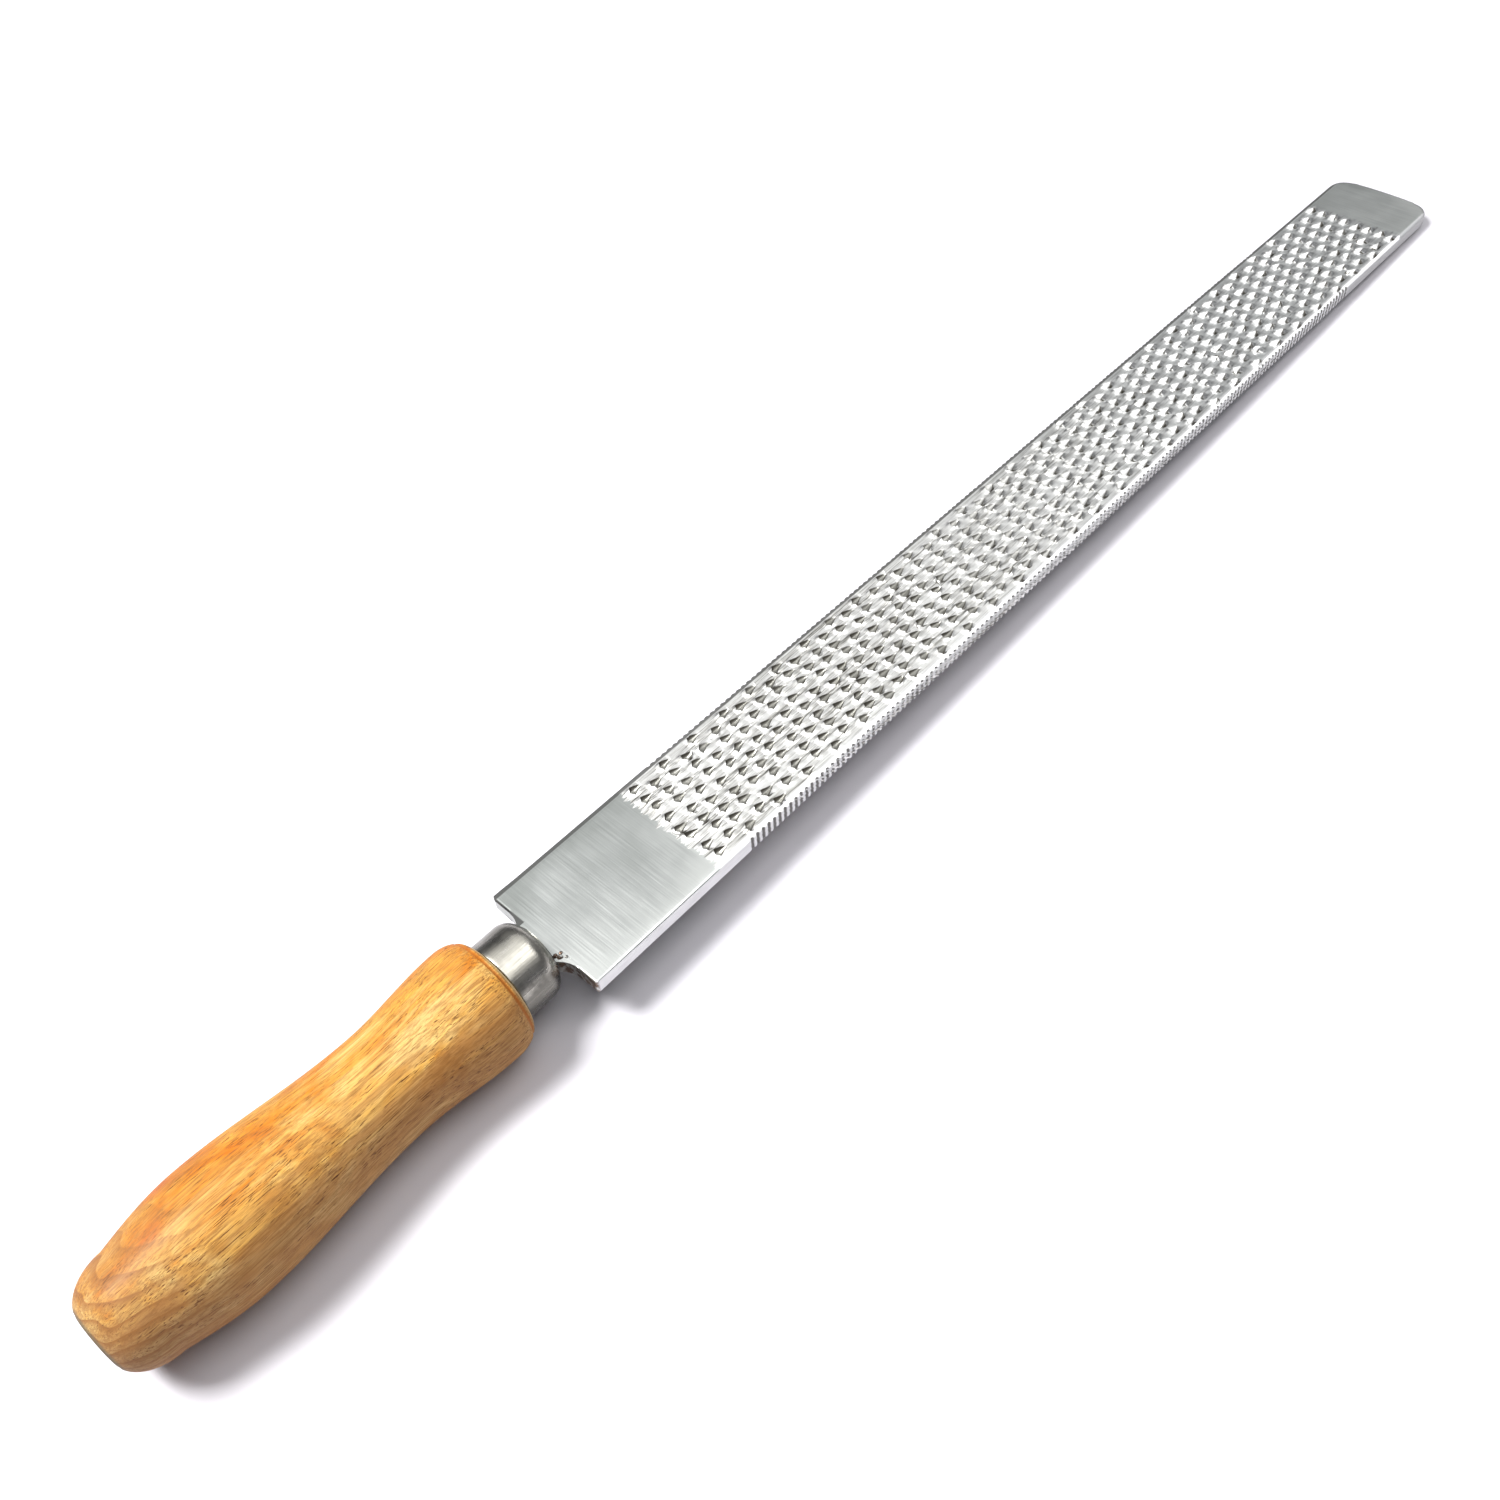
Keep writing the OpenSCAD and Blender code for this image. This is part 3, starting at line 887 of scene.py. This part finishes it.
RING_WIDTH = 0.0024                         # spacing of the growth rings, in metres
PITH = -0.012                               # their middle, below and beside the handle
LATE_WOOD = (0.24, 0.085, 0.015)
BROWN_BAND = (0.36, 0.16, 0.035)
FINE_GRAIN = (0.22, 0.095, 0.022)
OPEN_PORE = (0.10, 0.035, 0.008)
TURNED_LINE = (0.36, 0.10, 0.006)
BARE_WOOD = (0.62, 0.47, 0.25)
END_GRAIN = (0.24, 0.11, 0.045)
# Painted shade on the butt's rim
BUTT_RIM_PAINTED_SHADE = (0.10, 0.09, 0.055)


def ferrule_steel():
    m = Nodes("ferrule_steel")
    _, y, z = m.split(m.place)
    lengthwise = m.noise((140, 2200, 2200), 4, 0.6)
    round_about = m.noise((3000, 90, 90), 3, 0.6)
    cloud = m.noise((160, 160, 160), 3, 0.55)
    mixed = m.plus(m.times(lengthwise, 0.45), m.times(cloud, 0.55))
    colour = m.ramp(mixed,
                    (0.34, (0.36, 0.345, 0.30)),
                    (0.5, (0.54, 0.52, 0.46)),
                    (0.62, (0.72, 0.70, 0.63)))
    # Rubbed bright along the top, tarnished down both sides
    # Painted shade down the lower side and the +Y side; the top stays bright
    wander = m.range(cloud, 0.3, 0.7, -0.0018, 0.0018)
    low = m.range(m.plus(z, wander), 0.0070, 0.0035, 0.0, 0.88)
    side = m.range(m.plus(y, wander), -0.0005, 0.0030, 0.0, 0.72)
    colour = m.mix(m.most(low, side), colour, FERRULE_PAINTED_SHADE)
    scratch = m.range(m.times(lengthwise, round_about), 0.33, 0.40)
    colour = m.mix(m.times(scratch, 0.35), colour, FERRULE_SCRATCH)
    m.look(Base_Color=colour, Metallic=1.0, Roughness=m.range(mixed, 0.3, 0.7, 0.38, 0.22))
    m.bump(m.plus(lengthwise, m.times(round_about, 0.5)), strength=0.5, distance=0.00008)
    return m.material


def late_wood(m, x, y, z):
    """The dark part of each growth ring."""
    bend = m.range(m.noise((14, 60, 60), 2, 0.5), 0.3, 0.7, -0.0022, 0.0022)
    pith_y = m.plus(m.minus(y, PITH), bend)
    pith_z = m.plus(m.minus(z, PITH), bend)
    radius = m.math("SQRT", m.plus(m.times(pith_y, pith_y), m.times(pith_z, pith_z)))
    radius = m.plus(radius, m.times(x, 0.09))
    ring = m.math("FRACT", m.times(radius, 1 / RING_WIDTH))
    return m.times(m.range(ring, 0.45, 0.92), m.range(ring, 1.0, 0.94))


def lacquer_and_painted_shade(m, y, z, mottle, broad):
    """The lacquered wood is deep orange on top and honey lower down; painted shade turns it tan
    underneath.
    """
    orange = m.ramp(mottle,
                    (0.36, (0.44, 0.100, 0.003)),
                    (0.48, (0.50, 0.165, 0.010)),
                    (0.62, (0.57, 0.28, 0.045)))
    honey = m.ramp(mottle,
                   (0.36, (0.56, 0.21, 0.018)),
                   (0.48, (0.70, 0.38, 0.08)),
                   (0.62, (0.78, 0.54, 0.19)))
    tan = m.ramp(mottle,
                 (0.34, (0.34, 0.15, 0.04)),
                 (0.50, (0.46, 0.24, 0.08)),
                 (0.66, (0.56, 0.35, 0.14)))
    wander = m.range(broad, 0.3, 0.7, -0.004, 0.004)
    height = m.plus(m.plus(z, m.times(y, 0.6)), wander)
    # Painted shade: the darker tan copy underneath
    colour = m.mix(m.range(height, 0.0005, 0.0085), tan, honey)
    return m.mix(m.range(height, 0.0090, 0.0135), colour, orange)


def handle_wood():
    m = Nodes("handle_wood")
    x, y, z = m.split(m.place)
    grain = m.noise((85, 2600, 2600), 4, 0.7)
    broad = m.noise((22, 420, 420), 3, 0.6)
    mottle = m.noise((48, 90, 90), 3, 0.6, 0.8)
    end_zone = m.range(x, (BUTT_X + 26.0) * MM, (BUTT_X + 9.0) * MM)
    colour = lacquer_and_painted_shade(m, y, z, mottle, broad)
    ring_strength = m.range(end_zone, 0.0, 1.0, 0.20, 0.85)
    colour = m.mix(m.times(late_wood(m, x, y, z), ring_strength), colour, LATE_WOOD)
    colour = m.mix(m.range(broad, 0.40, 0.60, 0.34, 0.0), colour, BROWN_BAND)
    colour = m.mix(m.range(grain, 0.40, 0.56, 0.62, 0.0), colour, FINE_GRAIN)
    # Short open pores
    pores = m.noise((230, 5000, 5000), 2, 0.5, offset=(3, 1, 2))
    pore = m.times(m.range(pores, 0.58, 0.65), m.range(broad, 0.40, 0.58, 0.25, 1.0))
    colour = m.mix(pore, colour, OPEN_PORE)
    # A turned line behind the ferrule, bare wood inside it, and darker end grain at the butt
    line = m.times(m.range(x, (FRONT_X - 2.1) * MM, (FRONT_X - 1.8) * MM),
                   m.range(x, (FRONT_X - 1.0) * MM, (FRONT_X - 1.3) * MM))
    colour = m.mix(m.times(line, 0.8), colour, TURNED_LINE)
    bare = m.range(x, (FRONT_X - 0.7) * MM, (FRONT_X - 0.4) * MM)
    colour = m.mix(m.times(bare, 0.85), colour, BARE_WOOD)
    colour = m.mix(m.times(end_zone, 0.45), colour, END_GRAIN)
    # Painted shade on the rim of the butt
    rim = m.range(x, (BUTT_X + 0.9) * MM, (BUTT_X + 0.3) * MM, 0.0, 0.8)
    colour = m.mix(rim, colour, BUTT_RIM_PAINTED_SHADE)
    m.look(Base_Color=colour, Roughness=m.range(mottle, 0.3, 0.7, 0.54, 0.70),
           Coat_Weight=0.06, Coat_Roughness=0.32, Specular_IOR_Level=0.18)
    relief = m.minus(m.times(grain, 0.8), m.times(pore, 0.8))
    m.bump(relief, strength=0.5, distance=0.00015)
    return m.material


def floor_white():
    m = Nodes("floor_white")
    tone = m.noise((6, 6, 6), 2, 0.5)
    colour = m.ramp(tone, (0.3, (0.60, 0.585, 0.62)), (0.7, (0.64, 0.625, 0.655)))
    m.look(Base_Color=colour, Roughness=0.9, Specular_IOR_Level=0.1)
    return m.material


# ---- build -----------------------------------------------------------------------------

blade = make_blade()
blade.data.materials.append(blade_steel())
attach(blade, "root")
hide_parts("rasp_blade")

cap = lathe("ferrule_cap", ferrule_profile(), around=160, smooth_angle=40, ripple=0.02, seed=8)
cap.data.materials.append(ferrule_steel())
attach(cap, "root")
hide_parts("ferrule")

grip = lathe("turned_handle", handle_profile(), around=192, smooth_angle=35, ripple=0.06, seed=9)
grip.data.materials.append(handle_wood())
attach(grip, "root")
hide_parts("handle")

# ---- floor, light and camera -----------------------------------------------------------

# The tool lies on the belly of its handle and the lower edge of its tip
FLOOR_HALF = 4                              # in metres
FLOOR_GAP = 0.3                             # keeps the floor clear of the tool, in millimetres
belly_x = FRONT_X - BELLY_AT * HANDLE_LEN
tilt = math.atan((BELLY_R - FACE_Z) / (TIP_X - belly_x))
corners = [(x * FLOOR_HALF, y * FLOOR_HALF, 0) for x, y in ((-1, -1), (1, -1), (1, 1), (-1, 1))]
floor_mesh = bpy.data.meshes.new("floor")
floor_mesh.from_pydata(corners, [], [(0, 1, 2, 3)])
floor = bpy.data.objects.new("floor", floor_mesh)
bpy.context.scene.collection.objects.link(floor)
floor.location = (TIP_X * MM, 0, (-FACE_Z - FLOOR_GAP) * MM)
floor.rotation_euler = (0, -tilt, 0)
floor.data.materials.append(floor_white())


def area_light(name, place, target, size, power):
    """A rectangular lamp at place, turned towards target; metres and watts."""
    light = bpy.data.lights.new(name, "AREA")
    light.shape = "RECTANGLE"
    light.size, light.size_y = size
    light.energy = power
    obj = bpy.data.objects.new(name, light)
    bpy.context.scene.collection.objects.link(obj)
    obj.location = place
    obj.rotation_euler = (Vector(target) - Vector(place)).to_track_quat("-Z", "Y").to_euler()


area_light("overhead", (0.25, -0.4, 1.3), (0.25, -0.4, 0), size=(1.6, 0.95), power=12)
area_light("ceiling", (0.55, 0.71, 1.3), (0.55, 0.71, 0), size=(2.2, 1.25), power=6.4)
area_light("far_ceiling", (2.25, 0.71, 1.3), (2.25, 0.71, 0), size=(1.2, 1.25), power=2.7)
area_light("key_left", (-0.62, 0.52, 1.15), (0, 0, 0), size=(0.45, 0.45), power=36)

world = bpy.data.worlds.new("studio")
world.use_nodes = True
background = world.node_tree.nodes["Background"]
background.inputs["Color"].default_value = (0.87, 0.89, 1.0, 1)
background.inputs["Strength"].default_value = 0.12
bpy.context.scene.world = world
bpy.context.scene.view_settings.view_transform = "Standard"

camera_data = bpy.data.cameras.new("camera")
camera_data.sensor_width = 36
camera_data.lens = 35.2
camera_data.shift_x = 0.033
camera_data.shift_y = 0.002
camera = bpy.data.objects.new("camera", camera_data)
bpy.context.scene.collection.objects.link(camera)
camera.location = (HEEL_X * MM - 0.0826, -0.149, 0.2558)
camera.rotation_euler = Euler((math.radians(39.51), math.radians(4.30), math.radians(-46.63)))
bpy.context.scene.camera = camera
